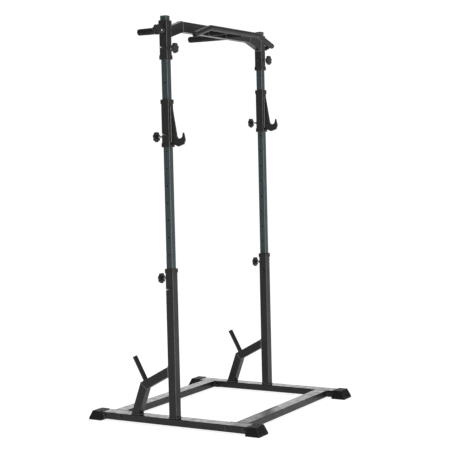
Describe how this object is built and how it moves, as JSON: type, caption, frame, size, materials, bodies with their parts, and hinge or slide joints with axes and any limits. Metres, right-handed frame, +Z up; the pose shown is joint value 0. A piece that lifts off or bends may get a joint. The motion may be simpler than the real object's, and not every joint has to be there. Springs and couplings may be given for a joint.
{
  "type": "power rack",
  "caption": "Half-rack for barbell training: wide tube base with rubber feet, telescoping square uprights, sliding barbell hooks and a multi-grip pull-up bar.",
  "frame": {"origin": "on the floor under the middle of the base frame", "axes": "+Z up, -Y the front, where the hooks and the front bar reach, +Y the rear with brackets and weight pegs, +X to the right when the rack is seen from the front"},
  "size_m": [1.28, 1.134, 2.304],
  "materials": {
    "frame": "black powder coat, satin with a fine texture",
    "mast": "dark grey-green powder coat, satin",
    "foot_rubber": "matte moulded rubber",
    "bolt_steel": "black oxide steel",
    "collar_plastic": "black moulded plastic",
    "foam": "closed-cell foam, matte",
    "knob_plastic": "black moulded plastic",
    "pin_steel": "bright zinc-plated steel"
  },
  "bodies": {
    "base": {"side_rails": "frame", "cross_members": "frame", "feet": "foot_rubber", "base_bolts": "bolt_steel", "base_nuts": "bolt_steel", "lower_posts": "frame", "post_bushings": "collar_plastic", "post_bosses": "frame", "plate_brackets": "frame", "weight_pegs": "frame", "peg_caps": "collar_plastic"},
    "uprights": {"masts": "mast", "mast_caps": "collar_plastic", "mast_plugs": "collar_plastic"},
    "hook_left": {"hook_sleeve_left": "frame", "hook_plate_left": "frame", "hook_bushing_low_left": "collar_plastic", "hook_bushing_top_left": "collar_plastic", "hook_boss_left": "frame"},
    "hook_right": {"hook_sleeve_right": "frame", "hook_plate_right": "frame", "hook_bushing_low_right": "collar_plastic", "hook_bushing_top_right": "collar_plastic", "hook_boss_right": "frame"},
    "pullup_unit": {"top_sleeves": "frame", "top_bushings_high": "collar_plastic", "top_bushings_low": "collar_plastic", "top_bosses": "frame", "pullup_beam": "frame", "front_bar": "frame", "inner_handles": "frame", "inner_grips": "foam", "bar_plugs": "collar_plastic", "rear_handles": "frame", "rear_grips": "foam", "rear_caps": "collar_plastic"},
    "pin_post_left_body": {"pin_post_left": "pin_steel"},
    "knob_post_left_body": {"knob_post_left": "knob_plastic", "screw_post_left": "pin_steel"},
    "pin_hook_left_body": {"pin_hook_left": "pin_steel"},
    "knob_hook_left_body": {"knob_hook_left": "knob_plastic", "screw_hook_left": "pin_steel"},
    "pin_top_left_body": {"pin_top_left": "pin_steel"},
    "knob_top_left_body": {"knob_top_left": "knob_plastic", "screw_top_left": "pin_steel"},
    "pin_post_right_body": {"pin_post_right": "pin_steel"},
    "knob_post_right_body": {"knob_post_right": "knob_plastic", "screw_post_right": "pin_steel"},
    "pin_hook_right_body": {"pin_hook_right": "pin_steel"},
    "knob_hook_right_body": {"knob_hook_right": "knob_plastic", "screw_hook_right": "pin_steel"},
    "pin_top_right_body": {"pin_top_right": "pin_steel"},
    "knob_top_right_body": {"knob_top_right": "knob_plastic", "screw_top_right": "pin_steel"},
    "knob_side_left_body": {"knob_side_left": "knob_plastic", "screw_side_left": "pin_steel"},
    "knob_side_right_body": {"knob_side_right": "knob_plastic", "screw_side_right": "pin_steel"}
  },
  "joints": [
    {"name": "mast_height", "type": "slide", "parent": "base", "child": "uprights", "axis": [0, 0, 1], "range_m": [-0.576, 0]},
    {"name": "pullup_height", "type": "slide", "parent": "uprights", "child": "pullup_unit", "axis": [0, 0, 1], "range_m": [0, 0.576]},
    {"name": "hook_left_height", "type": "slide", "parent": "uprights", "child": "hook_left", "axis": [0, 0, -1], "range_m": [-0.096, 0.48]},
    {"name": "hook_right_height", "type": "slide", "parent": "uprights", "child": "hook_right", "axis": [0, 0, -1], "range_m": [0, 0.576]},
    {"name": "pin_post_left_pull", "type": "slide", "parent": "base", "child": "pin_post_left_body", "axis": [1, 0, 0], "range_m": [0, 0.09]},
    {"name": "knob_post_left_turn", "type": "hinge", "parent": "base", "child": "knob_post_left_body", "pos_m": [-0.55, 0.03, 0.84], "axis": [0, 1, 0], "range_deg": [0, 720]},
    {"name": "pin_hook_left_pull", "type": "slide", "parent": "hook_left", "child": "pin_hook_left_body", "axis": [1, 0, 0], "range_m": [0, 0.09]},
    {"name": "knob_hook_left_turn", "type": "hinge", "parent": "hook_left", "child": "knob_hook_left_body", "pos_m": [-0.55, 0.03, 1.634], "axis": [0, 1, 0], "range_deg": [0, 720]},
    {"name": "pin_top_left_pull", "type": "slide", "parent": "pullup_unit", "child": "pin_top_left_body", "axis": [1, 0, 0], "range_m": [0, 0.09]},
    {"name": "knob_top_left_turn", "type": "hinge", "parent": "pullup_unit", "child": "knob_top_left_body", "pos_m": [-0.55, -0.03, 2.122], "axis": [0, -1, 0], "range_deg": [0, 720]},
    {"name": "pin_post_right_pull", "type": "slide", "parent": "base", "child": "pin_post_right_body", "axis": [-1, 0, 0], "range_m": [0, 0.09]},
    {"name": "knob_post_right_turn", "type": "hinge", "parent": "base", "child": "knob_post_right_body", "pos_m": [0.55, 0.03, 0.84], "axis": [0, 1, 0], "range_deg": [0, 720]},
    {"name": "pin_hook_right_pull", "type": "slide", "parent": "hook_right", "child": "pin_hook_right_body", "axis": [-1, 0, 0], "range_m": [0, 0.09]},
    {"name": "knob_hook_right_turn", "type": "hinge", "parent": "hook_right", "child": "knob_hook_right_body", "pos_m": [0.55, 0.03, 1.73], "axis": [0, 1, 0], "range_deg": [0, 720]},
    {"name": "pin_top_right_pull", "type": "slide", "parent": "pullup_unit", "child": "pin_top_right_body", "axis": [-1, 0, 0], "range_m": [0, 0.09]},
    {"name": "knob_top_right_turn", "type": "hinge", "parent": "pullup_unit", "child": "knob_top_right_body", "pos_m": [0.55, -0.03, 2.122], "axis": [0, -1, 0], "range_deg": [0, 720]},
    {"name": "knob_side_left_turn", "type": "hinge", "parent": "pullup_unit", "child": "knob_side_left_body", "pos_m": [-0.58, 0, 2.222], "axis": [-1, 0, 0], "range_deg": [0, 720]},
    {"name": "knob_side_right_turn", "type": "hinge", "parent": "pullup_unit", "child": "knob_side_right_body", "pos_m": [0.58, 0, 2.222], "axis": [1, 0, 0], "range_deg": [0, 720]}
  ]
}
